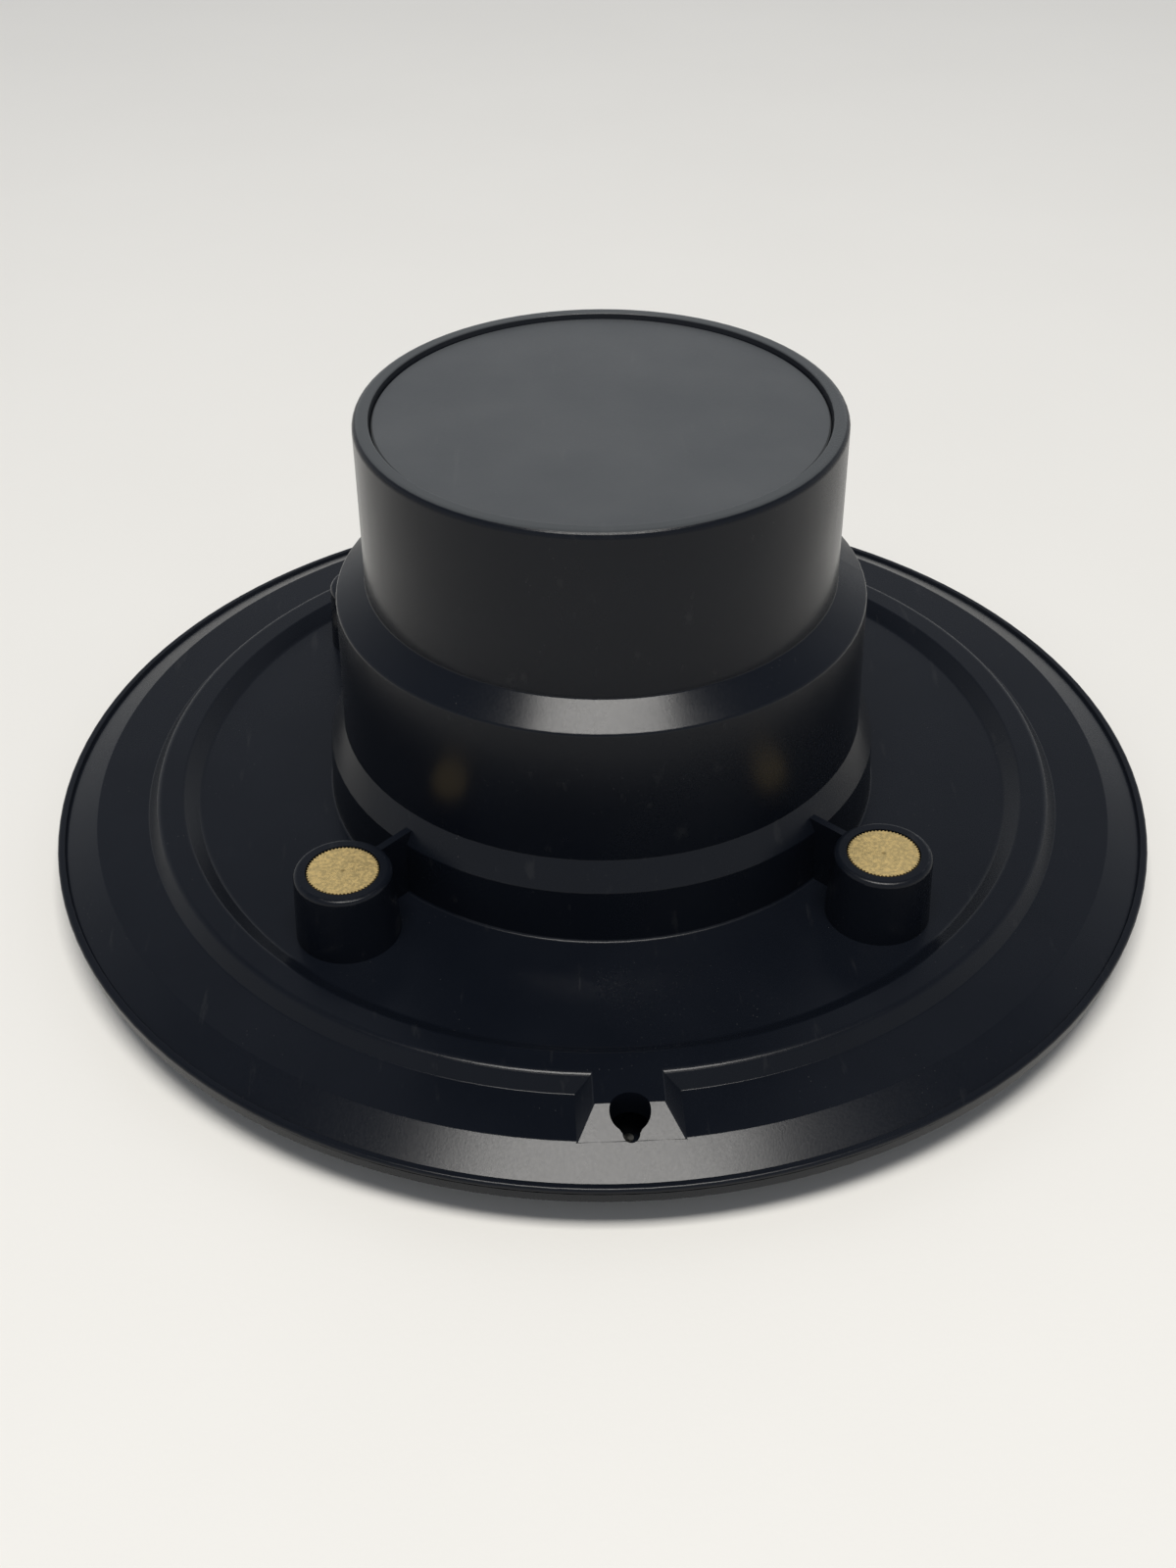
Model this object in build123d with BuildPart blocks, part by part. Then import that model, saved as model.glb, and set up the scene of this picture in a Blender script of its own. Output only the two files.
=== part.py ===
from build123d import *
import math
import os

# Compact re-entrant horn loudspeaker, modelled mouth down and hub up, in millimetres.
# Z is the horn's axis, Z = 0 is the rubber ring that it stands on, and -Y is the keyhole side.

# ---- driving dimensions ------------------------------------------------------------------
rim_radius = 152.0
rim_z = 13.0                # underside of the housing's rim
wall = 3.0                  # moulded housing wall
chord_turn = 9.0            # degrees between the chords of a rounded corner
drop = 0.3                  # how far added lumps are sunk into the wall they grow from

# housing steps, heights above the rim plane
bead_width = 2.3            # rounded lip round the very edge
flange_inner_radius = 140.8
flange_tilt = 24.5          # degrees, falling outwards
shelf_height = 4.5
shelf_inner_radius = 126.9
crest_outer_radius = 123.7
crest_inner_radius = 117.0
crest_height = 8.2
platform_outer_radius = 112.7
platform_height = 5.2

# hub drums: radius at the foot and at the shoulder above it
drum3_foot_radius = 76.0
drum3_top_radius = 75.1
drum3_height = 20.5
drum2_foot_radius = 71.0
drum2_foot_height = 27.7
drum2_top_radius = 69.9
drum2_height = 65.1
drum1_foot_radius = 62.0
drum1_foot_height = 70.1
drum1_top_radius = 61.7
hub_height = 114.5
cap_radius = 57.0
cap_thickness = 2.4
cap_top_height = 113.2
cap_seat_width = 3.2
crown_edge_radius = 1.8     # rounding of the hub's upper edge
cap_seal_thickness = 0.6

# bosses with brass inserts
boss_count = 4
boss_start_angle = 45.0
boss_circle_radius = 95.5
boss_top_height = 24.5
boss_top_radius = 12.35
boss_foot_radius = 13.4
boss_edge_radius = 1.3
web_thickness = 2.0
insert_radius = 9.05
insert_length = 14.0
insert_teeth = 60
insert_tooth_depth = 0.5
insert_clearance = 0.25
insert_sink = 0.15          # insert face below the boss top
insert_collar = 2.5         # solid top of the insert
screw_radius = 3.0          # M6 housing screws
m4_radius = 2.0
m4_clear_radius = 2.3
m4_head_radius = 3.5
m4_head_height = 2.4

# keyhole lugs
keyhole_angles = (-90.0, 90.0)
keyhole_circle_radius = 134.3
keyhole_radius = 4.75
keyhole_tail_radius = 2.0
keyhole_tail_tip = 141.2
keyhole_funnel_length = 1.4 # where the tail widens into the round hole
keyhole_funnel_half_width = 2.9
lug_foot_half_width = 12.35
lug_top_half_width = 8.2

# front bell
bell_wall = 2.4
flare_mouth_radius = 125.0
flare_mouth_z = 6.4
flare_corner_radius_at = 63.0
flare_corner_z = 12.3
flare_bend = 24.0
neck_radius = 46.5
neck_z = 66.0
web_z = 2.4                 # underside of the bell's front face
gasket_outer_radius = 149.4
gasket_inner_radius = 146.2
bumper_outer_radius = 137.0
bumper_inner_radius = 133.2
grille_thickness = 1.4
grille_radius = 132.0

# re-entrant throat and driver
throat_disc_z = 70.0
throat_disc_thickness = 4.0
throat_disc_radius = 58.0
throat_radius = 9.5
driver_z = throat_disc_z + throat_disc_thickness
pole_radius = 18.3
gap_radius = 20.2
coil_radius = 19.7
former_radius = 19.0
former_wall = 0.2
former_height = 9.0
diaphragm_z = 81.0
top_plate_z = 82.5
top_plate_thickness = 6.0
magnet_height = 15.0
magnet_radius = 45.0
magnet_bore_radius = 24.0
yoke_thickness = 6.0


def level(height):
    """Height above the base of a point given above the rim plane."""
    return rim_z + height


def polar(radius, angle):
    """Point on a circle, angle in degrees."""
    return (radius * math.cos(math.radians(angle)), radius * math.sin(math.radians(angle)))


def softened(corners):
    """Outline with each corner (x, z, radius) rounded by a run of short chords."""
    outline = []
    for n, (x, z, radius) in enumerate(corners):
        if not radius:
            outline.append((x, z))
            continue
        corner = Vector(x, z)
        back = (Vector(*corners[n - 1][:2]) - corner).normalized()
        ahead = (Vector(*corners[n + 1][:2]) - corner).normalized()
        half_angle = math.radians(back.get_angle(ahead)) / 2
        reach = radius / math.tan(half_angle)
        centre = corner + (back + ahead).normalized() * (radius / math.sin(half_angle))
        spoke = corner + back * reach - centre
        turn = 180 - math.degrees(2 * half_angle)
        if back.cross(ahead).Z > 0:
            turn = -turn
        chords = max(3, round(abs(turn) / chord_turn))
        for k in range(chords + 1):
            point = centre + spoke.rotate(Axis.Z, turn * k / chords)
            outline.append((point.X, point.Y))
    return outline


def hoop(part, radius, z):
    """The circular edges of a turned part at one radius and height."""
    circles = part.edges().filter_by(GeomType.CIRCLE)
    return [e for e in circles
            if abs(e.radius - radius) < 0.02 and abs(e.arc_center.Z - z) < 0.02]


# ---- rear housing ------------------------------------------------------------------------
slope = math.tan(math.radians(flange_tilt))
bead_inner_radius = rim_radius - bead_width
flange_edge_height = shelf_height - (bead_inner_radius - flange_inner_radius) * slope
bead_height = flange_edge_height + 0.7
seat_z = level(cap_top_height) - cap_thickness - cap_seal_thickness
seat_inner_radius = cap_radius + 0.2 - cap_seat_width
bead_lip_radius = cap_radius + 0.2
boss_top_z = level(boss_top_height)
platform_z = level(platform_height)

with BuildPart() as rear_housing:
    with BuildSketch(Plane.XZ):
        with BuildLine():
            outside = Polyline(*softened([
                (rim_radius, rim_z, 0),
                (rim_radius, level(bead_height), 0.8),
                (bead_inner_radius + 0.4, level(bead_height), 0.3),
                (bead_inner_radius, level(flange_edge_height), 0),
                (flange_inner_radius, level(shelf_height), 0.6),
                (shelf_inner_radius, level(shelf_height), 0.5),
                (crest_outer_radius, level(crest_height), 2.2),
                (crest_inner_radius, level(crest_height), 1.5),
                (platform_outer_radius, platform_z, 2.0),
                (drum3_foot_radius, platform_z, 0.7),
                (drum3_top_radius, level(drum3_height), 0.9),
                (drum2_foot_radius, level(drum2_foot_height), 0.5),
                (drum2_top_radius, level(drum2_height), 1.0),
                (drum1_foot_radius, level(drum1_foot_height), 0.5),
                (drum1_top_radius, level(hub_height), crown_edge_radius),
                (bead_lip_radius + 0.5, level(hub_height), 0.5),
                (bead_lip_radius, level(cap_top_height - 0.4), 0),
            ]))
            inside = Polyline(
                (bead_lip_radius, level(cap_top_height - 0.4)),
                (bead_lip_radius, seat_z),
                (seat_inner_radius, seat_z),
                (seat_inner_radius, seat_z - wall),
                (drum1_top_radius - wall, seat_z - wall),
                (drum1_foot_radius - wall, level(drum1_foot_height - 0.6)),
                (drum2_top_radius - wall, level(drum2_height - 1.8)),
                (drum2_foot_radius - wall, level(drum2_foot_height - 0.9)),
                (drum3_top_radius - wall, level(drum3_height - 1.6)),
                (drum3_foot_radius - wall, level(platform_height - wall)),
                (platform_outer_radius + 1.2, level(platform_height - wall)),
                (crest_inner_radius + 1.2, level(crest_height - wall)),
                (crest_outer_radius - 1.6, level(crest_height - wall)),
                (shelf_inner_radius - 1.4, level(shelf_height - wall)),
                (flange_inner_radius - 2.0, level(shelf_height - wall)),
                (flange_inner_radius - 1.0, rim_z),
                (rim_radius, rim_z),
            )
        make_face()
    revolve(axis=Axis.Z)

    # bosses, each tied to the hub by a thin radial web
    with PolarLocations(boss_circle_radius, boss_count, start_angle=boss_start_angle):
        with Locations((0, 0, platform_z - drop)):
            Cone(
                bottom_radius=boss_foot_radius,
                top_radius=boss_top_radius,
                height=boss_top_z - platform_z + drop,
                align=(Align.CENTER, Align.CENTER, Align.MIN),
            )
    fillet(hoop(rear_housing, boss_top_radius, boss_top_z), radius=boss_edge_radius)
    for n in range(boss_count):
        angle = boss_start_angle + n * 360 / boss_count
        with BuildSketch(Plane.XZ.rotated((0, 0, angle))):
            with BuildLine():
                Polyline(
                    (drum3_foot_radius - 1.5, platform_z - drop),
                    (boss_circle_radius - boss_top_radius + 2, platform_z - drop),
                    (boss_circle_radius - boss_top_radius + 2, boss_top_z - 0.4),
                    (drum2_foot_radius + 0.9, boss_top_z - 0.4),
                    (drum3_top_radius - 1.0, level(drum3_height + 0.3)),
                    close=True,
                )
            make_face()
        extrude(amount=web_thickness / 2, both=True)

# A keyhole lug bridges the shelf between the flange and the crest, drawn along +X.
lug_base_z = level(shelf_height) - drop
lug_top_z = level(crest_height)
lug_front_radius = flange_inner_radius - (crest_height - shelf_height) / slope
with BuildPart() as keyhole_lug:
    with BuildSketch(Plane.XZ):
        with BuildLine():
            Polyline(
                (flange_inner_radius + drop / slope - 0.1, lug_base_z),
                (lug_front_radius, lug_top_z),
                (crest_outer_radius - 2.5, lug_top_z),
                (crest_outer_radius - 2.5, lug_base_z),
                close=True,
            )
        make_face()
    extrude(amount=lug_foot_half_width + 2, both=True)
    spread = (lug_foot_half_width - lug_top_half_width) / (crest_height - shelf_height)
    with BuildSketch(Plane.YZ.offset(crest_outer_radius - 3)):
        with BuildLine():
            Polyline(
                (-lug_foot_half_width - drop * spread, lug_base_z),
                (-lug_top_half_width, lug_top_z),
                (lug_top_half_width, lug_top_z),
                (lug_foot_half_width + drop * spread, lug_base_z),
                close=True,
            )
        make_face()
    extrude(amount=20, mode=Mode.INTERSECT)
    shoulders = keyhole_lug.edges().filter_by(
        lambda e: abs(e.center().Y) > 1 and e.center().Z > lug_base_z + 1
        and e.center().X > crest_outer_radius - 2)
    fillet(shoulders, radius=0.7)

insert_top_z = boss_top_z - insert_sink
insert_floor_z = insert_top_z - insert_length
grommet_z = level(46.0)
grommet_radius = 5.2
entry_inner_y = 60.0
entry_depth = 20.0
with rear_housing:
    for angle in keyhole_angles:
        add(keyhole_lug.part.rotate(Axis.Z, angle))
    for angle in keyhole_angles:
        tail_x = keyhole_tail_tip - keyhole_tail_radius
        funnel_x = tail_x - keyhole_funnel_length
        with BuildSketch(Plane.XY.rotated((0, 0, angle)).offset(rim_z - 1)):
            with Locations((keyhole_circle_radius, 0)):
                Circle(keyhole_radius)
            with BuildLine():
                Polyline(
                    (funnel_x, -keyhole_funnel_half_width),
                    (tail_x, -keyhole_tail_radius),
                    (tail_x, keyhole_tail_radius),
                    (funnel_x, keyhole_funnel_half_width),
                    close=True,
                )
            make_face()
            with Locations((tail_x, 0)):
                Circle(keyhole_tail_radius)
        extrude(amount=12, mode=Mode.SUBTRACT)

    # sockets for the inserts, with a screw hole below each
    with PolarLocations(boss_circle_radius, boss_count, start_angle=boss_start_angle):
        with Locations((0, 0, insert_floor_z)):
            Cylinder(
                insert_radius + insert_clearance, insert_length + 2,
                align=(Align.CENTER, Align.CENTER, Align.MIN), mode=Mode.SUBTRACT,
            )
        with Locations((0, 0, rim_z)):
            Cylinder(
                screw_radius + 0.4, insert_length,
                align=(Align.CENTER, Align.CENTER, Align.MIN), mode=Mode.SUBTRACT,
            )

    # cable entry on the side away from the keyhole that faces forward
    with Locations(Plane.XZ.offset(-entry_inner_y)):
        with Locations((0, grommet_z, 0)):
            Cylinder(
                grommet_radius, entry_depth,
                align=(Align.CENTER, Align.CENTER, Align.MAX), mode=Mode.SUBTRACT,
            )

# ---- brass inserts -----------------------------------------------------------------------
tooth_points = []
for n in range(insert_teeth * 2):
    tooth_radius = insert_radius - (n % 2) * insert_tooth_depth
    tooth_points.append(polar(tooth_radius, n * 180 / insert_teeth))

with BuildPart() as brass_inserts:
    with BuildSketch(Plane.XY.offset(insert_floor_z)):
        with PolarLocations(boss_circle_radius, boss_count, start_angle=boss_start_angle):
            Polygon(*tooth_points, align=None)
            Circle(screw_radius + 0.1, mode=Mode.SUBTRACT)
    extrude(amount=insert_length - insert_collar)
    with BuildSketch(Plane.XY.offset(insert_top_z - insert_collar)):
        with PolarLocations(boss_circle_radius, boss_count, start_angle=boss_start_angle):
            Polygon(*tooth_points, align=None)
    extrude(amount=insert_collar)

# ---- rear cap and its seal ---------------------------------------------------------------
cap_z = level(cap_top_height) - cap_thickness
skirt_radius = seat_inner_radius - 0.3
skirt_depth = 5.0
skirt_wall = 2.2
hook_count = 3
hook_width = 8.0
hook_reach = 3.4
with BuildPart() as rear_cap:
    with BuildSketch(Plane.XY.offset(cap_z)):
        Circle(cap_radius)
    extrude(amount=cap_thickness)
    chamfer(hoop(rear_cap, cap_radius, cap_z + cap_thickness), length=0.4)
    with BuildSketch(Plane.XY.offset(cap_z)):
        Circle(skirt_radius)
        Circle(skirt_radius - skirt_wall, mode=Mode.SUBTRACT)
    extrude(amount=-skirt_depth)
    # snap hooks catch under the housing's seat
    hook_z = seat_z - wall - 0.1
    with BuildSketch(Plane.XY.offset(hook_z)):
        with PolarLocations(skirt_radius - 0.6, hook_count, start_angle=30):
            Rectangle(hook_reach, hook_width)
        Circle(skirt_radius - skirt_wall, mode=Mode.SUBTRACT)
    extrude(amount=-(hook_z - cap_z + skirt_depth))

with BuildPart() as cap_seal:
    with BuildSketch(Plane.XY.offset(seat_z)):
        Circle(cap_radius - 0.3)
        Circle(seat_inner_radius + 0.5, mode=Mode.SUBTRACT)
    extrude(amount=cap_seal_thickness)

# ---- cable grommet, a closed rubber membrane ---------------------------------------------
with BuildPart() as cable_grommet:
    wall_outer = drum2_foot_radius - 0.55
    with BuildSketch(Plane.YZ):
        with BuildLine():
            Polyline(
                (wall_outer - 5.4, grommet_z),
                (wall_outer - 5.4, grommet_z + grommet_radius + 2.4),
                (wall_outer - 3.9, grommet_z + grommet_radius + 2.4),
                (wall_outer - 3.9, grommet_z + grommet_radius - 0.1),
                (wall_outer + 0.5, grommet_z + grommet_radius - 0.1),
                (wall_outer + 0.5, grommet_z + grommet_radius + 2.6),
                (wall_outer + 1.6, grommet_z + grommet_radius + 2.0),
                (wall_outer + 2.3, grommet_z + grommet_radius - 1.0),
                (wall_outer + 0.6, grommet_z + grommet_radius - 1.8),
                (wall_outer + 0.6, grommet_z),
                close=True,
            )
        make_face()
    revolve(axis=Axis((0, 0, grommet_z), (0, 1, 0)))

# ---- front bell: flange, tapered skirt, front web and the last flare of the horn ---------
flange_top_z = rim_z - 1.0
flange_outer_radius = rim_radius - 0.6
flange_thickness = 2.4
skirt_top_radius = 144.6
skirt_foot_radius = 138.8
bell_boss_radius = 9.0
head_radius = 5.5
head_height = 3.8
screw_seat_z = 11.2
fin_count = 3
fin_start_angle = 90.0
fin_screw_radius_at = 70.0
fin_foot_radius = 5.0
fin_foot_z = 8.0
fin_foot_top_z = 10.8
throat_screw_count = 4
throat_screw_radius_at = 53.0
grille_screw_count = 6
grille_screw_radius_at = 129.0

with BuildPart() as front_bell:
    with BuildSketch(Plane.XZ):
        with BuildLine():
            Polyline(
                (flange_outer_radius, flange_top_z - flange_thickness),
                (flange_outer_radius, flange_top_z),
                (skirt_top_radius, flange_top_z),
                (skirt_foot_radius - bell_wall, web_z + bell_wall),
                (flare_mouth_radius + 2.6, web_z + bell_wall),
                (flare_mouth_radius + 0.3, flare_mouth_z + bell_wall),
                (flare_corner_radius_at + 1.4, flare_corner_z + bell_wall - 0.1),
                (neck_radius + bell_wall + 0.1, neck_z),
                (throat_disc_radius, neck_z),
                (throat_disc_radius, throat_disc_z - 1.0),
                (neck_radius, throat_disc_z - 1.0),
                (neck_radius, neck_z),
                (flare_corner_radius_at, flare_corner_z),
                (flare_mouth_radius, flare_mouth_z),
                (flare_mouth_radius, web_z),
                (skirt_foot_radius, web_z),
                (skirt_top_radius + bell_wall, flange_top_z - flange_thickness),
                close=True,
            )
        make_face()
        corners = vertices().filter_by(
            lambda v: abs(v.X - flare_corner_radius_at) < 2 and v.Y > 0.5 * flare_corner_z)
        fillet(corners.sort_by(Axis.Y)[0], radius=flare_bend)
        fillet(vertices().filter_by(
            lambda v: abs(v.X - flare_corner_radius_at - 1.4) < 0.01), radius=flare_bend - bell_wall)
    revolve(axis=Axis.Z)
    # columns that meet the underside of the housing's platform
    with PolarLocations(boss_circle_radius, boss_count, start_angle=boss_start_angle):
        with Locations((0, 0, screw_seat_z - 1.0)):
            Cylinder(
                bell_boss_radius, level(platform_height) - wall - screw_seat_z + 1.0,
                align=(Align.CENTER, Align.CENTER, Align.MIN),
            )
        with Locations((0, 0, screw_seat_z)):
            Cylinder(
                head_radius + 0.8, 12,
                align=(Align.CENTER, Align.CENTER, Align.MAX), mode=Mode.SUBTRACT,
            )
            Cylinder(screw_radius + 0.4, 20, mode=Mode.SUBTRACT)
    # pads for the three feet of the reflector
    with PolarLocations(fin_screw_radius_at, fin_count, start_angle=fin_start_angle):
        with Locations((0, 0, fin_foot_top_z)):
            Cylinder(fin_foot_radius, 3.6, align=(Align.CENTER, Align.CENTER, Align.MIN))
            Cylinder(
                1.6, 4.4,
                align=(Align.CENTER, Align.CENTER, Align.MIN), mode=Mode.SUBTRACT,
            )
    # screw bosses under the neck flange
    with PolarLocations(throat_screw_radius_at, throat_screw_count, start_angle=0):
        with Locations((0, 0, neck_z - 8)):
            Cylinder(4.0, 8, align=(Align.CENTER, Align.CENTER, Align.MIN))
        with Locations((0, 0, neck_z - 6)):
            Cylinder(
                2.1, 12,
                align=(Align.CENTER, Align.CENTER, Align.MIN), mode=Mode.SUBTRACT,
            )
    # holes for the grille screws
    with PolarLocations(grille_screw_radius_at, grille_screw_count, start_angle=30):
        Cylinder(1.35, 20, mode=Mode.SUBTRACT)

# ---- seals between the housing, the bell and the floor -----------------------------------
with BuildPart() as rim_gasket:
    with BuildSketch(Plane.XY.offset(flange_top_z)):
        Circle(gasket_outer_radius)
        Circle(gasket_inner_radius, mode=Mode.SUBTRACT)
    extrude(amount=rim_z - flange_top_z)

with BuildPart() as bumper_ring:
    with BuildSketch(Plane.XY):
        Circle(bumper_outer_radius)
        Circle(bumper_inner_radius, mode=Mode.SUBTRACT)
    extrude(amount=web_z)
    fillet(bumper_ring.edges().group_by(Axis.Z)[0], radius=0.8)

# ---- front grille: slots between concentric rings, crossed by spokes ----------------------
grille_z = web_z - grille_thickness
slot_pitch = 5.5
slot_width = 3.0
slot_count = 19
first_slot_radius = 17.0
spoke_count = 12
spoke_width = 3.0
with BuildSketch(Plane.XY.offset(grille_z)) as slots:
    for n in reversed(range(slot_count)):
        Circle(first_slot_radius + n * slot_pitch + slot_width)
        Circle(first_slot_radius + n * slot_pitch, mode=Mode.SUBTRACT)
    with PolarLocations(grille_radius / 2, spoke_count, start_angle=15):
        Rectangle(grille_radius, spoke_width, mode=Mode.SUBTRACT)

with BuildPart() as front_grille:
    with BuildSketch(Plane.XY.offset(grille_z)):
        Circle(grille_radius)
    extrude(amount=grille_thickness)
    extrude(slots.sketch, amount=grille_thickness, mode=Mode.SUBTRACT)
    with PolarLocations(grille_screw_radius_at, grille_screw_count, start_angle=30):
        with Locations((0, 0, grille_z)):
            Cylinder(1.6, 10, mode=Mode.SUBTRACT)

# ---- reflector: the cup that turns the sound back on itself -------------------------------
cup_rim_z = 60.0
cup_foot_z = 6.6
cup_rim_radius = 37.0
cup_waist_radius = 43.0
cup_waist_z = 22.0
cup_wall = 2.5
cup_bend = 12.0
cone_radius = 12.0
cone_tip_z = 23.0
with BuildPart() as reflector_cup:
    with BuildSketch(Plane.XZ):
        with BuildLine():
            Polyline(
                (0, cup_foot_z),
                (cup_waist_radius, cup_foot_z),
                (cup_waist_radius, cup_waist_z),
                (cup_rim_radius, cup_rim_z),
                (cup_rim_radius - cup_wall, cup_rim_z),
                (cup_waist_radius - cup_wall, cup_waist_z),
                (cup_waist_radius - cup_wall, cup_foot_z + cup_wall),
                (cone_radius, cup_foot_z + cup_wall),
                (3.0, cone_tip_z - 3.0),
                (0, cone_tip_z),
                close=True,
            )
        make_face()
        fillet(vertices().filter_by(
            lambda v: abs(v.X - cup_waist_radius) < 0.01 and v.Y < 8), radius=cup_bend)
        fillet(vertices().filter_by(
            lambda v: abs(v.X - cup_waist_radius + cup_wall) < 0.01 and v.Y < 10),
            radius=cup_bend - cup_wall)
        fillet(vertices().filter_by(lambda v: abs(v.X - cone_radius) < 0.01), radius=8)
    revolve(axis=Axis.Z)
    for n in range(fin_count):
        angle = fin_start_angle + n * 360 / fin_count
        with BuildSketch(Plane.XZ.rotated((0, 0, angle))):
            with BuildLine():
                Polyline(
                    (cup_waist_radius - 1.5, fin_foot_z + 9),
                    (cup_waist_radius - 1.5, 31),
                    (53, 27),
                    (60, 19.5),
                    (65, fin_foot_top_z),
                    (66, fin_foot_z),
                    (52, fin_foot_z),
                    close=True,
                )
            make_face()
        extrude(amount=1.5, both=True)
    with PolarLocations(fin_screw_radius_at, fin_count, start_angle=fin_start_angle):
        with Locations((0, 0, fin_foot_z)):
            Cylinder(
                fin_foot_radius, fin_foot_top_z - fin_foot_z,
                align=(Align.CENTER, Align.CENTER, Align.MIN),
            )
            Cylinder(1.7, 20, mode=Mode.SUBTRACT)

# ---- throat horn: first flare and the disc that closes the second turn --------------------
tube_foot_z = 25.0
tube_foot_radius = 14.0
tube_wall = 2.2
driver_screw_count = 4
driver_screw_radius_at = 40.0
with BuildPart() as throat_horn:
    with BuildSketch(Plane.XZ):
        with BuildLine():
            Polyline(
                (throat_radius, driver_z),
                (throat_radius, driver_z - 8),
                (tube_foot_radius, tube_foot_z),
                (tube_foot_radius + tube_wall, tube_foot_z),
                (throat_radius + tube_wall + 1.0, throat_disc_z - 4),
                (throat_radius + tube_wall + 5.0, throat_disc_z),
                (throat_disc_radius, throat_disc_z),
                (throat_disc_radius, driver_z),
                close=True,
            )
        make_face()
    revolve(axis=Axis.Z)
    with PolarLocations(throat_screw_radius_at, throat_screw_count, start_angle=0):
        with Locations((0, 0, throat_disc_z)):
            Cylinder(m4_clear_radius, 20, mode=Mode.SUBTRACT)
    with PolarLocations(driver_screw_radius_at, driver_screw_count, start_angle=45):
        with Locations((0, 0, throat_disc_z)):
            Cylinder(m4_clear_radius, 20, mode=Mode.SUBTRACT)

with BuildPart() as throat_gasket:
    with BuildSketch(Plane.XY.offset(throat_disc_z - 1.0)):
        Circle(throat_disc_radius - 1)
        Circle(neck_radius + 0.5, mode=Mode.SUBTRACT)
        with PolarLocations(throat_screw_radius_at, throat_screw_count, start_angle=0):
            Circle(2.6, mode=Mode.SUBTRACT)
    extrude(amount=1.0)

# ---- compression driver ------------------------------------------------------------------
cover_radius = 46.0
chamber_radius = 34.5
chamber_floor_z = diaphragm_z - 3.4
plug_ring_radius = 14.0
plug_seat_z = driver_z + 1.2
carrier_z = top_plate_z - 2.5
with BuildPart() as driver_cover:
    with BuildSketch(Plane.XZ):
        with BuildLine():
            Polyline(
                (throat_radius, driver_z),
                (cover_radius, driver_z),
                (cover_radius, carrier_z),
                (chamber_radius, carrier_z),
                (chamber_radius - 3.0, chamber_floor_z),
                (plug_ring_radius + 0.1, chamber_floor_z),
                (plug_ring_radius + 0.1, plug_seat_z),
                (throat_radius, plug_seat_z),
                close=True,
            )
        make_face()
    revolve(axis=Axis.Z)
    with PolarLocations(driver_screw_radius_at, driver_screw_count, start_angle=45):
        with Locations((0, 0, driver_z)):
            Cylinder(m4_clear_radius, 20, mode=Mode.SUBTRACT)

# phase plug: a bullet on three ribs inside a seating ring
bullet_radius = 6.0
with BuildPart() as phase_plug:
    with BuildSketch(Plane.XY.offset(plug_seat_z)):
        Circle(plug_ring_radius)
        Circle(throat_radius + 1.0, mode=Mode.SUBTRACT)
    extrude(amount=chamber_floor_z - plug_seat_z)
    with BuildSketch(Plane.XZ):
        with BuildLine():
            foot = Line((0, driver_z - 5), (0, chamber_floor_z - 0.6))
            top = Line(foot @ 1, (bullet_radius, chamber_floor_z - 0.2))
            ThreePointArc(top @ 1, (bullet_radius * 0.62, driver_z - 1.5), foot @ 0)
        make_face()
    revolve(axis=Axis.Z)
    with BuildSketch(Plane.XY.offset(plug_seat_z)):
        with PolarLocations(bullet_radius + 2.0, 3, start_angle=90):
            Rectangle(8.0, 1.6)
    extrude(amount=1.4)

with BuildPart() as diaphragm_carrier:
    with BuildSketch(Plane.XY.offset(carrier_z)):
        Circle(cover_radius)
        Circle(chamber_radius, mode=Mode.SUBTRACT)
        with PolarLocations(driver_screw_radius_at, driver_screw_count, start_angle=45):
            Circle(m4_clear_radius, mode=Mode.SUBTRACT)
    extrude(amount=top_plate_z - carrier_z)

terminal_angles = (84.0, 96.0)
with BuildPart() as driver_terminals:
    for angle in terminal_angles:
        with BuildSketch(Plane.XY.rotated((0, 0, angle)).offset(carrier_z + 0.8)):
            with Locations((cover_radius + 3.0, 0)):
                Rectangle(6.0, 3.0)
        extrude(amount=0.8)

# moving system: dome, half-roll surround, former and winding
dome_rise = 2.4
dome_thickness = 0.35
surround_outer_radius = 33.9
surround_thickness = 0.35
roll_inner_radius = 22.0
roll_outer_radius = 31.0
roll_rise = 0.9
dome_rim = former_radius - former_wall - 0.02
sphere_radius = (dome_rim ** 2 + dome_rise ** 2) / (2 * dome_rise)
sphere_z = diaphragm_z - dome_rise + sphere_radius
dome_half_angle = math.degrees(math.asin(dome_rim / sphere_radius))


def dome_point(radius, angle):
    """Point on the dome's section, angle in degrees from the axis."""
    return (
        radius * math.sin(math.radians(angle)),
        sphere_z - radius * math.cos(math.radians(angle)),
    )


with BuildPart() as diaphragm_dome:
    inner_sphere = sphere_radius - dome_thickness
    with BuildSketch(Plane.XZ):
        with BuildLine():
            outer_arc = ThreePointArc(
                dome_point(sphere_radius, 0),
                dome_point(sphere_radius, dome_half_angle / 2),
                dome_point(sphere_radius, dome_half_angle),
            )
            inner_arc = ThreePointArc(
                dome_point(inner_sphere, dome_half_angle),
                dome_point(inner_sphere, dome_half_angle / 2),
                dome_point(inner_sphere, 0),
            )
            Line(outer_arc @ 1, inner_arc @ 0)
            Line(inner_arc @ 1, outer_arc @ 0)
        make_face()
    revolve(axis=Axis.Z)

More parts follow.
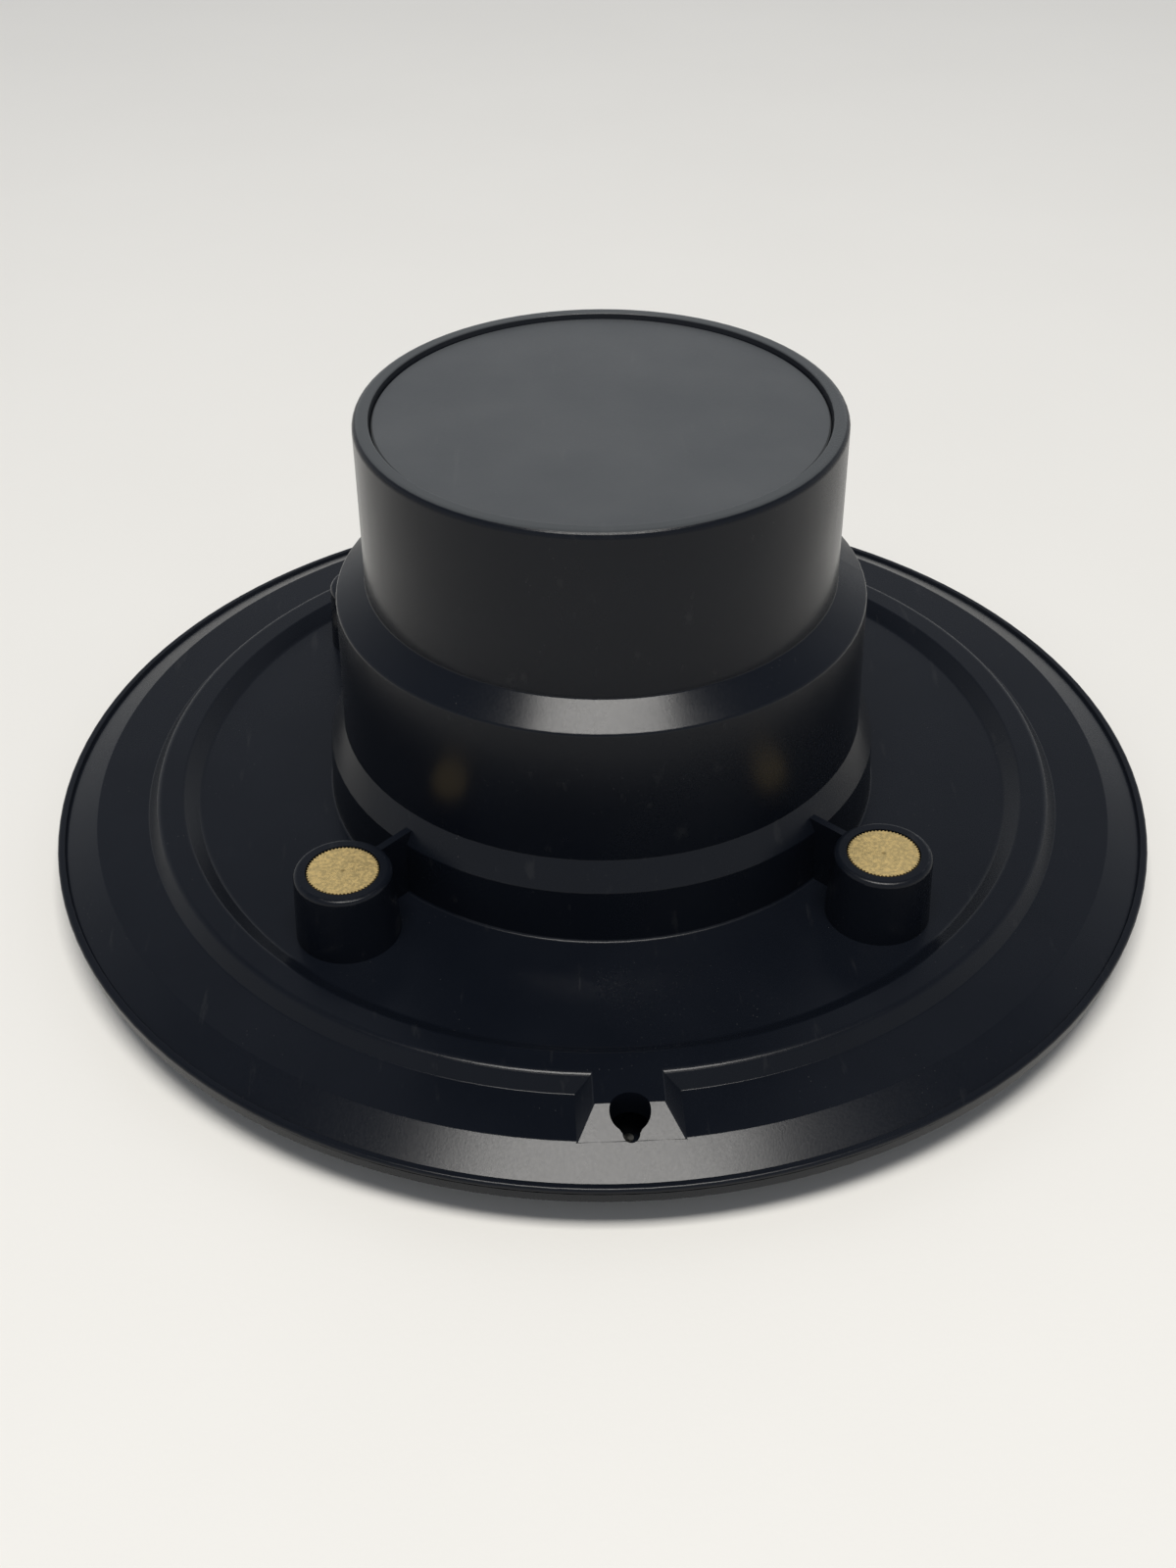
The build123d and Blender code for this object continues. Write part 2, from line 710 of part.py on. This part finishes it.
with BuildPart() as diaphragm_surround:
    roll_middle = (roll_inner_radius + roll_outer_radius) / 2
    with BuildSketch(Plane.XZ):
        with BuildLine():
            lower_in = Line((former_radius, diaphragm_z), (roll_inner_radius, diaphragm_z))
            lower_roll = ThreePointArc(
                lower_in @ 1,
                (roll_middle, diaphragm_z - roll_rise),
                (roll_outer_radius, diaphragm_z),
            )
            lower_out = Line(lower_roll @ 1, (surround_outer_radius, diaphragm_z))
            edge = Line(lower_out @ 1, (surround_outer_radius, diaphragm_z + surround_thickness))
            upper_out = Line(edge @ 1, (roll_outer_radius, diaphragm_z + surround_thickness))
            upper_roll = ThreePointArc(
                upper_out @ 1,
                (roll_middle, diaphragm_z - roll_rise + surround_thickness),
                (roll_inner_radius, diaphragm_z + surround_thickness),
            )
            upper_in = Line(upper_roll @ 1, (former_radius, diaphragm_z + surround_thickness))
            Line(upper_in @ 1, lower_in @ 0)
        make_face()
    revolve(axis=Axis.Z)

with BuildPart() as coil_former:
    with BuildSketch(Plane.XY.offset(diaphragm_z)):
        Circle(former_radius)
        Circle(former_radius - former_wall, mode=Mode.SUBTRACT)
    extrude(amount=former_height)

with BuildPart() as voice_coil:
    with BuildSketch(Plane.XY.offset(top_plate_z + 0.5)):
        Circle(coil_radius)
        Circle(former_radius, mode=Mode.SUBTRACT)
    extrude(amount=top_plate_thickness - 1.0)

with BuildPart() as top_plate:
    with BuildSketch(Plane.XY.offset(top_plate_z)):
        Circle(cover_radius)
        Circle(gap_radius, mode=Mode.SUBTRACT)
        with PolarLocations(driver_screw_radius_at, driver_screw_count, start_angle=45):
            Circle(2.1, mode=Mode.SUBTRACT)
    extrude(amount=top_plate_thickness)
    chamfer(top_plate.edges().filter_by(GeomType.CIRCLE).sort_by(SortBy.RADIUS)[-2:], length=0.6)

magnet_z = top_plate_z + top_plate_thickness
with BuildPart() as ring_magnet:
    with BuildSketch(Plane.XY.offset(magnet_z)):
        Circle(magnet_radius)
        Circle(magnet_bore_radius, mode=Mode.SUBTRACT)
    extrude(amount=magnet_height)
    chamfer(ring_magnet.edges().filter_by(GeomType.CIRCLE).sort_by(SortBy.RADIUS)[-2:], length=0.8)

yoke_z = magnet_z + magnet_height
yoke_top_z = yoke_z + yoke_thickness
bracket_screw_y = 19.5
with BuildPart() as yoke:
    with BuildSketch(Plane.XZ):
        with BuildLine():
            Polyline(
                (0, diaphragm_z + 3.5),
                (pole_radius - 0.8, diaphragm_z + 3.5),
                (pole_radius, diaphragm_z + 4.3),
                (pole_radius, yoke_z),
                (cover_radius - 0.5, yoke_z),
                (cover_radius - 0.5, yoke_top_z - 0.8),
                (cover_radius - 1.3, yoke_top_z),
                (0, yoke_top_z),
                close=True,
            )
        make_face()
    revolve(axis=Axis.Z)
    with Locations((0, -bracket_screw_y, yoke_top_z), (0, bracket_screw_y, yoke_top_z)):
        Cylinder(1.5, 8, mode=Mode.SUBTRACT, align=(Align.CENTER, Align.CENTER, Align.CENTER))

# ---- line transformer and terminal block on a sheet bracket -------------------------------
bracket_thickness = 1.5
pad_height = 1.5
core_side = 30.0
core_height = 8.0
leg_width = 8.0
window_width = 7.0
window_length = 18.0
winding_reach = 6.0
bracket_top_z = yoke_top_z + bracket_thickness
core_z = bracket_top_z + pad_height
with BuildPart() as transformer_bracket:
    with BuildSketch(Plane.XY.offset(yoke_top_z)):
        with Locations((0, 6)):
            RectangleRounded(32, 60, 4)
        with Locations((0, -bracket_screw_y), (0, bracket_screw_y)):
            Circle(1.8, mode=Mode.SUBTRACT)
    extrude(amount=bracket_thickness)
    with Locations((-12.5, 0, bracket_top_z), (12.5, 0, bracket_top_z)):
        Box(4.5, core_side, pad_height, align=(Align.CENTER, Align.CENTER, Align.MIN))

with BuildPart() as transformer_core:
    with BuildSketch(Plane.XY.offset(core_z)):
        Rectangle(core_side, core_side)
        window_y = (leg_width + window_width) / 2
        with Locations((0, -window_y), (0, window_y)):
            Rectangle(window_length, window_width, mode=Mode.SUBTRACT)
    extrude(amount=core_height)

with BuildPart() as transformer_winding:
    with Locations((0, 0, core_z + core_height / 2)):
        Box(window_length - 1, leg_width + 2 * winding_reach, core_height + 2.6)
        Box(window_length, leg_width, core_height, mode=Mode.SUBTRACT)
    fillet(transformer_winding.edges().filter_by(Axis.X).group_by(Axis.Y)[-1], radius=1.2)
    fillet(transformer_winding.edges().filter_by(Axis.X).group_by(Axis.Y)[0], radius=1.2)

block_y = 29.5
block_height = 9.0
terminal_x = 5.5
with BuildPart() as terminal_block:
    with Locations((0, block_y, bracket_top_z)):
        Box(22, 10, block_height, align=(Align.CENTER, Align.CENTER, Align.MIN))
    chamfer(terminal_block.edges().filter_by(Axis.X).group_by(Axis.Z)[-1], length=1.0)
    with Locations(
        (-terminal_x, block_y, bracket_top_z + block_height),
        (terminal_x, block_y, bracket_top_z + block_height),
    ):
        Cylinder(2.4, 5.0, mode=Mode.SUBTRACT)
    # wire entries, facing the cable entry
    with Locations(
        (-terminal_x, block_y + 5, bracket_top_z + 3.4),
        (terminal_x, block_y + 5, bracket_top_z + 3.4),
    ):
        Box(3.0, 6.0, 3.0, mode=Mode.SUBTRACT)

# ---- screws, one group to a size ----------------------------------------------------------
screw_z = bracket_top_z + block_height
with BuildPart() as terminal_screws:
    with Locations((-terminal_x, block_y, screw_z), (terminal_x, block_y, screw_z)):
        Cylinder(2.2, 2.5, align=(Align.CENTER, Align.CENTER, Align.MAX))
        Box(0.7, 5.0, 1.6, mode=Mode.SUBTRACT)

with BuildPart() as bracket_screws:
    for y in (-bracket_screw_y, bracket_screw_y):
        with Locations((0, y, bracket_top_z)):
            Cylinder(2.8, 1.6, align=(Align.CENTER, Align.CENTER, Align.MIN))
            Cylinder(1.45, 5.0, align=(Align.CENTER, Align.CENTER, Align.MAX))

with BuildPart() as driver_screws:
    with PolarLocations(driver_screw_radius_at, driver_screw_count, start_angle=45):
        with Locations((0, 0, throat_disc_z)):
            Cylinder(m4_head_radius, m4_head_height, align=(Align.CENTER, Align.CENTER, Align.MAX))
            Cylinder(m4_radius, 16.0, align=(Align.CENTER, Align.CENTER, Align.MIN))

with BuildPart() as throat_screws:
    with PolarLocations(throat_screw_radius_at, throat_screw_count, start_angle=0):
        with Locations((0, 0, driver_z)):
            Cylinder(m4_head_radius, m4_head_height, align=(Align.CENTER, Align.CENTER, Align.MIN))
            Cylinder(m4_radius, 12.5, align=(Align.CENTER, Align.CENTER, Align.MAX))

with BuildPart() as housing_screws:
    with PolarLocations(boss_circle_radius, boss_count, start_angle=boss_start_angle):
        with Locations((0, 0, screw_seat_z)):
            Cylinder(head_radius, head_height, align=(Align.CENTER, Align.CENTER, Align.MAX))
            Cylinder(screw_radius, 21.0, align=(Align.CENTER, Align.CENTER, Align.MIN))
        with Locations((0, 0, screw_seat_z - head_height)):
            Cylinder(2.0, 3.0, mode=Mode.SUBTRACT)

with BuildPart() as reflector_screws:
    with PolarLocations(fin_screw_radius_at, fin_count, start_angle=fin_start_angle):
        with Locations((0, 0, fin_foot_z)):
            Cylinder(2.9, 1.8, align=(Align.CENTER, Align.CENTER, Align.MAX))
            Cylinder(1.5, 6.6, align=(Align.CENTER, Align.CENTER, Align.MIN))

with BuildPart() as grille_screws:
    with PolarLocations(grille_screw_radius_at, grille_screw_count, start_angle=30):
        with Locations((0, 0, grille_z)):
            Cylinder(2.6, 0.9, align=(Align.CENTER, Align.CENTER, Align.MAX))
            Cylinder(1.3, 4.2, align=(Align.CENTER, Align.CENTER, Align.MIN))

# ---- labels and files --------------------------------------------------------------------
os.makedirs("parts", exist_ok=True)
pieces = {
    "rear_housing": rear_housing,
    "rear_cap": rear_cap,
    "cap_seal": cap_seal,
    "brass_inserts": brass_inserts,
    "cable_grommet": cable_grommet,
    "front_bell": front_bell,
    "rim_gasket": rim_gasket,
    "bumper_ring": bumper_ring,
    "front_grille": front_grille,
    "reflector_cup": reflector_cup,
    "throat_horn": throat_horn,
    "throat_gasket": throat_gasket,
    "driver_cover": driver_cover,
    "phase_plug": phase_plug,
    "diaphragm_carrier": diaphragm_carrier,
    "driver_terminals": driver_terminals,
    "diaphragm_dome": diaphragm_dome,
    "diaphragm_surround": diaphragm_surround,
    "coil_former": coil_former,
    "voice_coil": voice_coil,
    "top_plate": top_plate,
    "ring_magnet": ring_magnet,
    "yoke": yoke,
    "transformer_bracket": transformer_bracket,
    "transformer_core": transformer_core,
    "transformer_winding": transformer_winding,
    "terminal_block": terminal_block,
    "terminal_screws": terminal_screws,
    "bracket_screws": bracket_screws,
    "driver_screws": driver_screws,
    "throat_screws": throat_screws,
    "housing_screws": housing_screws,
    "reflector_screws": reflector_screws,
    "grille_screws": grille_screws,
}
for name, piece in pieces.items():
    piece.part.label = name
    export_step(piece.part, f"parts/{name}.step")
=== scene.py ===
import math

import bpy
from mathutils import Matrix, Vector


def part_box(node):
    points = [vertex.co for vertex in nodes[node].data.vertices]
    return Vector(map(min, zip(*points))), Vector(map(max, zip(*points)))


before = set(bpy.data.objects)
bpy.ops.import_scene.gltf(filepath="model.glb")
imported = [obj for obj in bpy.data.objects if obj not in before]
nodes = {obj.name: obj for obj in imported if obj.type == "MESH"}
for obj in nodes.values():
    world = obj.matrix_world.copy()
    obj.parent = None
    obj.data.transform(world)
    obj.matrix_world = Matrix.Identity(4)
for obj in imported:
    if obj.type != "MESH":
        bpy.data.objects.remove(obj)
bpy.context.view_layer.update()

scene = bpy.context.scene
MM = 0.001

# ---- camera ------------------------------------------------------------------------------
PITCH = 37.94
HEADING = -2.2
ROLL = -0.42
CAMERA_AT = (-0.01965, -0.41145, 0.3305)
FOCAL_PIXELS = 1850.0
LONG_SIDE = 1600.0
SENSOR = 36.0

camera_data = bpy.data.cameras.new("camera")
camera_data.sensor_width = SENSOR
camera_data.lens = SENSOR * FOCAL_PIXELS / LONG_SIDE
camera_data.clip_start = 0.01
camera_data.clip_end = 60.0
camera = bpy.data.objects.new("camera", camera_data)
scene.collection.objects.link(camera)
camera.matrix_world = (
    Matrix.Translation(CAMERA_AT)
    @ Matrix.Rotation(math.radians(HEADING), 4, "Z")
    @ Matrix.Rotation(math.radians(90.0 - PITCH), 4, "X")
    @ Matrix.Rotation(math.radians(ROLL), 4, "Z")
)
scene.camera = camera

# ---- shading helpers ---------------------------------------------------------------------


class Shader:
    """A Principled material built up from object-space noise."""

    def __init__(self, name, rough=0.5, metallic=0.0, ior=1.5, specular=0.5):
        self.material = bpy.data.materials.new(name)
        self.material.use_nodes = True
        self.tree = self.material.node_tree
        self.tree.nodes.clear()
        output = self.tree.nodes.new("ShaderNodeOutputMaterial")
        self.bsdf = self.tree.nodes.new("ShaderNodeBsdfPrincipled")
        self.link(self.bsdf.outputs[0], output.inputs[0])
        self.bsdf.inputs["Roughness"].default_value = rough
        self.bsdf.inputs["Metallic"].default_value = metallic
        self.bsdf.inputs["IOR"].default_value = ior
        self.bsdf.inputs["Specular IOR Level"].default_value = specular
        coords = self.tree.nodes.new("ShaderNodeTexCoord")
        self.place = coords.outputs["Object"]
        self.height = None

    def link(self, source, target):
        self.tree.links.new(source, target)

    def math(self, operation, a, b=None, clamp=False):
        node = self.tree.nodes.new("ShaderNodeMath")
        node.operation = operation
        node.use_clamp = clamp
        for socket, value in zip(node.inputs, (a, b)):
            if value is None:
                continue
            if isinstance(value, (int, float)):
                socket.default_value = value
            else:
                self.link(value, socket)
        return node.outputs[0]

    def noise(self, scale, detail=4.0, rough=0.55, stretch=None):
        node = self.tree.nodes.new("ShaderNodeTexNoise")
        node.inputs["Scale"].default_value = scale
        node.inputs["Detail"].default_value = detail
        node.inputs["Roughness"].default_value = rough
        source = self.place
        if stretch:
            mapping = self.tree.nodes.new("ShaderNodeMapping")
            mapping.inputs["Scale"].default_value = stretch
            self.link(self.place, mapping.inputs["Vector"])
            source = mapping.outputs[0]
        self.link(source, node.inputs["Vector"])
        return node.outputs[0]

    def cells(self, scale):
        node = self.tree.nodes.new("ShaderNodeTexVoronoi")
        node.inputs["Scale"].default_value = scale
        self.link(self.place, node.inputs["Vector"])
        return node.outputs["Distance"]

    def span(self, value, low, high, to_low=0.0, to_high=1.0):
        node = self.tree.nodes.new("ShaderNodeMapRange")
        node.interpolation_type = "SMOOTHSTEP"
        node.inputs["From Min"].default_value = low
        node.inputs["From Max"].default_value = high
        node.inputs["To Min"].default_value = to_low
        node.inputs["To Max"].default_value = to_high
        self.link(value, node.inputs["Value"])
        return node.outputs[0]

    def mix(self, factor, a, b):
        node = self.tree.nodes.new("ShaderNodeMix")
        node.data_type = "RGBA"
        self.link(factor, node.inputs["Factor"])
        for socket, value in ((node.inputs["A"], a), (node.inputs["B"], b)):
            if isinstance(value, tuple):
                socket.default_value = (*value, 1.0)
            else:
                self.link(value, socket)
        return node.outputs["Result"]

    def axes(self):
        node = self.tree.nodes.new("ShaderNodeSeparateXYZ")
        self.link(self.place, node.inputs[0])
        return node.outputs[0], node.outputs[1], node.outputs[2]

    def stripes(self, along, pitch, low, high):
        wave = self.math("SINE", self.math("MULTIPLY", along, 2 * math.pi / pitch))
        return self.span(wave, low, high)

    def color(self, source):
        self.link(source, self.bsdf.inputs["Base Color"])

    def roughness(self, source):
        self.link(source, self.bsdf.inputs["Roughness"])

    def bump(self, source, distance, strength=1.0):
        node = self.tree.nodes.new("ShaderNodeBump")
        node.inputs["Distance"].default_value = distance
        node.inputs["Strength"].default_value = strength
        self.link(source, node.inputs["Height"])
        if self.height is not None:
            self.link(self.height, node.inputs["Normal"])
        self.height = node.outputs[0]
        self.link(self.height, self.bsdf.inputs["Normal"])


def coat(shader, *names):
    """Gives CAD nodes one material, in place of their plain ones."""
    for name in names:
        slots = nodes[name].data.materials
        slots.clear()
        slots.append(shader.material)


def plastic(name, dark, light, rough, specular=0.5, dust=0.3, grain=0.012 * MM, crown_sheen=None):
    """Moulded plastic: mottled colour, fine spark-eroded grain, faint scuffs and specks of dust.

    crown is (low, high, colour): painted sheen, the plastic turns to that lighter colour between those
    two heights.
    """
    s = Shader(name, rough=rough, specular=specular)
    tone = s.mix(s.noise(38.0, 5.0), dark, light)
    # painted sheen: between the two heights the plastic is painted a lighter colour, for light caught
    # on the top face
    if crown_sheen:
        low, high, sheen_tone = crown_sheen
        tone = s.mix(s.span(s.axes()[2], low, high), tone, sheen_tone)
    specks = s.span(s.cells(620.0), 0.10, 0.045)
    patchy = s.math("MULTIPLY", specks, s.span(s.noise(55.0, 2.0), 0.5, 0.72), clamp=True)
    scuffs = s.span(s.noise(240.0, 6.0, stretch=(1.0, 0.16, 0.5)), 0.63, 0.74)
    marked = s.math("MAXIMUM", patchy, s.math("MULTIPLY", scuffs, 0.12))
    s.color(s.mix(s.math("MULTIPLY", marked, dust, clamp=True), tone, (0.16, 0.16, 0.155)))
    cloud = s.span(s.noise(9.0, 3.0), 0.42, 0.72, rough - 0.03, rough + 0.05)
    s.roughness(s.math("ADD", cloud, s.math("MULTIPLY", s.noise(1400.0, 2.0), 0.10)))
    s.bump(s.noise(70.0, 2.0), 0.05 * MM, 0.4)
    s.bump(s.noise(1700.0, 3.0), grain)
    return s


def metal(name, dark, light, rough, stretch=(1.0, 1.0, 1.0), grain=0.01 * MM):
    """Plated, drawn or cast metal: tonal variation, streaks and pits."""
    s = Shader(name, rough=rough, metallic=1.0)
    s.color(s.mix(s.noise(60.0, 5.0), dark, light))
    streaks = s.noise(420.0, 4.0, stretch=stretch)
    s.roughness(s.span(streaks, 0.3, 0.75, rough - 0.08, rough + 0.12))
    s.bump(s.noise(900.0, 4.0, stretch=stretch), grain)
    return s


def turned_brass(boss_at, insert_radius):
    """Brass face with fine turning rings, a centre pip and a darker knurled edge."""
    s = Shader("insert_brass", rough=0.45, metallic=1.0)
    x, y, _ = s.axes()
    dx = s.math("SUBTRACT", s.math("ABSOLUTE", x), boss_at)
    dy = s.math("SUBTRACT", s.math("ABSOLUTE", y), boss_at)
    squares = s.math("ADD", s.math("MULTIPLY", dx, dx), s.math("MULTIPLY", dy, dy))
    radius = s.math("SQRT", squares)
    rings = s.math("SINE", s.math("MULTIPLY", radius, 2 * math.pi / (0.45 * MM)))
    tone = s.mix(s.noise(600.0, 6.0), (0.74, 0.56, 0.25), (0.82, 0.635, 0.30))
    stain = s.span(s.noise(1600.0, 4.0), 0.58, 0.74, 0.0, 0.22)
    pip = s.span(radius, 0.3 * MM, 0.7 * MM, 0.6, 0.0)
    edge = s.span(radius, insert_radius - 0.9 * MM, insert_radius - 0.3 * MM, 0.0, 0.1)
    shade = s.math("MAXIMUM", s.math("MAXIMUM", pip, edge), stain)
    s.color(s.mix(shade, tone, (0.24, 0.165, 0.06)))
    s.roughness(s.span(s.noise(1300.0, 3.0), 0.3, 0.7, 0.42, 0.60))
    s.bump(rings, 0.008 * MM)
    s.bump(s.noise(2200.0, 3.0), 0.012 * MM)
    return s


def film(name):
    """Thin translucent amber film."""
    s = Shader(name, rough=0.25, ior=1.6)
    s.color(s.mix(s.noise(120.0, 4.0), (0.30, 0.10, 0.012), (0.46, 0.18, 0.03)))
    s.roughness(s.span(s.noise(600.0, 3.0), 0.3, 0.7, 0.2, 0.36))
    s.bump(s.noise(500.0, 3.0), 0.02 * MM)
    return s


def grainy(name, dark, light, rough, grain):
    """Paint, ferrite or another hard grainy surface."""
    s = Shader(name, rough=rough)
    s.color(s.mix(s.noise(100.0, 5.0), dark, light))
    s.roughness(s.span(s.noise(850.0, 4.0), 0.3, 0.7, rough - 0.08, rough + 0.1))
    s.bump(s.noise(1250.0, 4.0), grain)
    return s


def laminations(name, pitch):
    """Stacked steel sheets: thin dark lines up the height."""
    s = Shader(name, rough=0.45, metallic=1.0)
    sheets = s.stripes(s.axes()[2], pitch, 0.2, 0.9)
    rust = s.mix(s.noise(90.0, 4.0), (0.05, 0.045, 0.04), (0.09, 0.07, 0.05))
    s.color(s.mix(sheets, (0.20, 0.19, 0.18), rust))
    s.roughness(s.span(s.noise(500.0, 4.0), 0.3, 0.7, 0.36, 0.6))
    s.bump(sheets, 0.08 * MM)
    return s


def wound_tape(name, pitch):
    """Yellow tape with a lap line at every turn."""
    s = Shader(name, rough=0.4)
    laps = s.stripes(s.axes()[0], pitch, 0.86, 0.98)
    yellow = s.mix(s.noise(90.0, 4.0), (0.55, 0.38, 0.03), (0.68, 0.50, 0.07))
    s.color(s.mix(laps, yellow, (0.34, 0.22, 0.02)))
    s.roughness(s.span(s.noise(300.0, 3.0), 0.3, 0.7, 0.3, 0.5))
    s.bump(laps, 0.12 * MM)
    return s


# ---- materials ---------------------------------------------------------------------------
hub_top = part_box("rear_housing")[1][2]
# painted sheen: the flat top ring of the hub, within these depths below the hub's top, is painted this
# lighter grey for the light it catches; its rounded outer edge stays dark
CROWN_PAINTED_SHEEN = (0.050, 0.054, 0.057)
CROWN_SHEEN_LOW = 0.35 * MM      # below the hub's top
CROWN_SHEEN_HIGH = 0.1 * MM
coat(
    plastic(
        "housing_plastic", (0.0026, 0.0036, 0.0062), (0.0050, 0.0064, 0.0098), 0.21,
        specular=0.2, crown_sheen=(hub_top - CROWN_SHEEN_LOW, hub_top - CROWN_SHEEN_HIGH, CROWN_PAINTED_SHEEN),
    ),
    "rear_housing",
)
coat(
    plastic("bell_plastic", (0.0035, 0.0048, 0.0075), (0.006, 0.008, 0.012), 0.26, 0.24),
    "front_bell",
)
coat(
    plastic("cap_plastic", (0.038, 0.042, 0.046), (0.066, 0.070, 0.073), 0.36, 0.4, dust=0.5),
    "rear_cap",
)
coat(
    plastic("horn_plastic", (0.010, 0.011, 0.012), (0.017, 0.018, 0.020), 0.34),
    "reflector_cup", "throat_horn",
)
coat(
    plastic("plug_plastic", (0.010, 0.010, 0.011), (0.017, 0.017, 0.018), 0.26),
    "phase_plug", "diaphragm_carrier",
)
coat(plastic("block_plastic", (0.012, 0.06, 0.028), (0.018, 0.085, 0.04), 0.34), "terminal_block")
coat(
    plastic("seal_rubber", (0.008, 0.008, 0.0085), (0.014, 0.014, 0.014), 0.66, 0.35, grain=0.04 * MM),
    "cap_seal", "cable_grommet", "rim_gasket", "bumper_ring", "throat_gasket",
)

# the four inserts stand on the diagonals of the boss circle
BOSS_CIRCLE_RADIUS = 95.5 * MM
_, insert_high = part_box("brass_inserts")
boss_at = BOSS_CIRCLE_RADIUS * math.cos(math.radians(45.0))
coat(turned_brass(boss_at, insert_high[0] - boss_at), "brass_inserts")

coat(
    grainy("grille_paint", (0.009, 0.0095, 0.0105), (0.016, 0.017, 0.018), 0.42, 0.06 * MM),
    "front_grille",
)
coat(grainy("ferrite", (0.022, 0.022, 0.024), (0.05, 0.05, 0.054), 0.55, 0.06 * MM), "ring_magnet")

coat(
    metal("plated_steel", (0.42, 0.42, 0.38), (0.60, 0.60, 0.57), 0.34, (1.0, 0.2, 1.0)),
    "top_plate", "yoke", "transformer_bracket",
)
coat(
    metal("screw_steel", (0.40, 0.40, 0.37), (0.62, 0.62, 0.60), 0.28),
    "terminal_screws", "bracket_screws", "driver_screws", "throat_screws",
    "housing_screws", "reflector_screws", "grille_screws",
)
coat(
    metal("cast_aluminium", (0.42, 0.43, 0.44), (0.58, 0.59, 0.60), 0.5, grain=0.05 * MM),
    "driver_cover",
)
coat(metal("dome_metal", (0.62, 0.63, 0.66), (0.72, 0.73, 0.76), 0.25), "diaphragm_dome")
coat(metal("tinned_brass", (0.55, 0.52, 0.45), (0.70, 0.68, 0.62), 0.3), "driver_terminals")
coat(
    metal("copper_wire", (0.42, 0.13, 0.045), (0.62, 0.24, 0.09), 0.3, (1.0, 1.0, 14.0), 0.06 * MM),
    "voice_coil",
)
coat(film("amber_film"), "diaphragm_surround", "coil_former")
coat(laminations("core_steel", 0.5 * MM), "transformer_core")
coat(wound_tape("winding_tape", 5.5 * MM), "transformer_winding")

# flat faces keep their own normals where they meet a rounding
FLAT_FACE_WEIGHT = 100
for node in nodes.values():
    weighted = node.modifiers.new("weighted_normals", "WEIGHTED_NORMAL")
    weighted.mode = "FACE_AREA"
    weighted.weight = FLAT_FACE_WEIGHT
    weighted.keep_sharp = True

# ---- floor -------------------------------------------------------------------------------
FLOOR_HALF = 15.0


def floor():
    corners = [(-FLOOR_HALF, -FLOOR_HALF, 0), (FLOOR_HALF, -FLOOR_HALF, 0),
               (FLOOR_HALF, FLOOR_HALF, 0), (-FLOOR_HALF, FLOOR_HALF, 0)]
    mesh = bpy.data.meshes.new("floor")
    mesh.from_pydata(corners, [], [(0, 1, 2, 3)])
    obj = bpy.data.objects.new("floor", mesh)
    scene.collection.objects.link(obj)
    s = Shader("floor", rough=0.55, specular=0.3)
    s.color(s.mix(s.noise(7.0, 5.0), (0.70, 0.69, 0.66), (0.735, 0.725, 0.695)))
    s.bump(s.noise(500.0, 3.0), 0.04 * MM)
    mesh.materials.append(s.material)


floor()

# ---- light -------------------------------------------------------------------------------
LIGHT_AT = Vector((0.0, -0.54, 2.4))
LIGHT_AIM = Vector((0.0, 0.0, 0.0))
LIGHT_SIZE = (1.4, 0.66)
LIGHT_POWER = 62.0
LIGHT_TINT = (1.0, 0.975, 0.935)

# how high in the room, and the colour there
ROOM_TONES = (
    (0.0, (0.66, 0.67, 0.68, 1.0)),
    (0.35, (0.52, 0.54, 0.57, 1.0)),
    (0.62, (0.36, 0.38, 0.42, 1.0)),
    (0.82, (0.12, 0.13, 0.155, 1.0)),
    (1.0, (0.10, 0.11, 0.13, 1.0)),
)


def ceiling_light():
    """One warm rectangle overhead, a little in front of the part."""
    data = bpy.data.lights.new("ceiling_light", "AREA")
    data.shape = "RECTANGLE"
    data.size, data.size_y = LIGHT_SIZE
    data.energy = LIGHT_POWER
    data.color = LIGHT_TINT
    obj = bpy.data.objects.new("ceiling_light", data)
    scene.collection.objects.link(obj)
    obj.location = LIGHT_AT
    obj.rotation_euler = (LIGHT_AIM - LIGHT_AT).to_track_quat("-Z", "Y").to_euler()


def room_light():
    """Pale walls round the horizon that fade to a dim ceiling."""
    world = bpy.data.worlds.new("world")
    world.use_nodes = True
    tree = world.node_tree
    background = tree.nodes["Background"]
    coords = tree.nodes.new("ShaderNodeTexCoord")
    split = tree.nodes.new("ShaderNodeSeparateXYZ")
    ramp = tree.nodes.new("ShaderNodeValToRGB")
    tree.links.new(coords.outputs["Generated"], split.inputs[0])
    tree.links.new(split.outputs[2], ramp.inputs[0])
    tree.links.new(ramp.outputs[0], background.inputs["Color"])
    stops = ramp.color_ramp.elements
    stops[0].position, stops[0].color = ROOM_TONES[0]
    stops[1].position, stops[1].color = ROOM_TONES[-1]
    for position, color in ROOM_TONES[1:-1]:
        stops.new(position).color = color
    background.inputs["Strength"].default_value = 1.0
    scene.world = world


ceiling_light()
room_light()
scene.view_settings.view_transform = "Standard"
